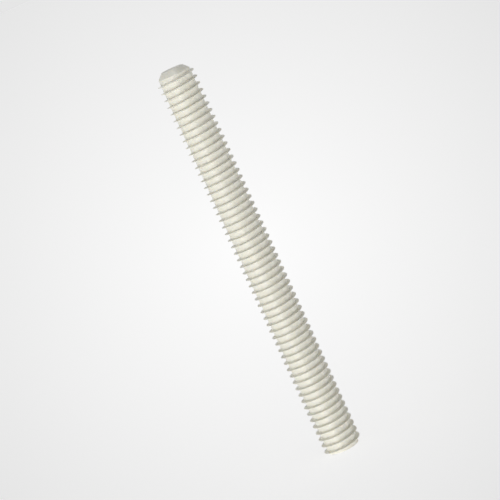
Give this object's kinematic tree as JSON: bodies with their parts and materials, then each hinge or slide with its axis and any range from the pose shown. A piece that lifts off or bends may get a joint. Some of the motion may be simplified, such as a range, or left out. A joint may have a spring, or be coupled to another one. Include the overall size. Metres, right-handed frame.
{
  "type": "threaded rod",
  "caption": "Fully threaded plastic stud with a right-hand screw thread over its whole length, with a long bevel at its upper end and a square cut with a light bevel at its lower end.",
  "frame": {"origin": "middle of the square lower end face", "axes": "+Z along the rod's axis, from the square end up to the bevelled end; -Y is the side that faces the camera in the picture"},
  "size_m": [0.0038, 0.0038, 0.0406],
  "materials": {
    "nylon": "satin, natural off-white"
  },
  "bodies": {
    "root": {"threaded_rod": "nylon"}
  },
  "joints": []
}
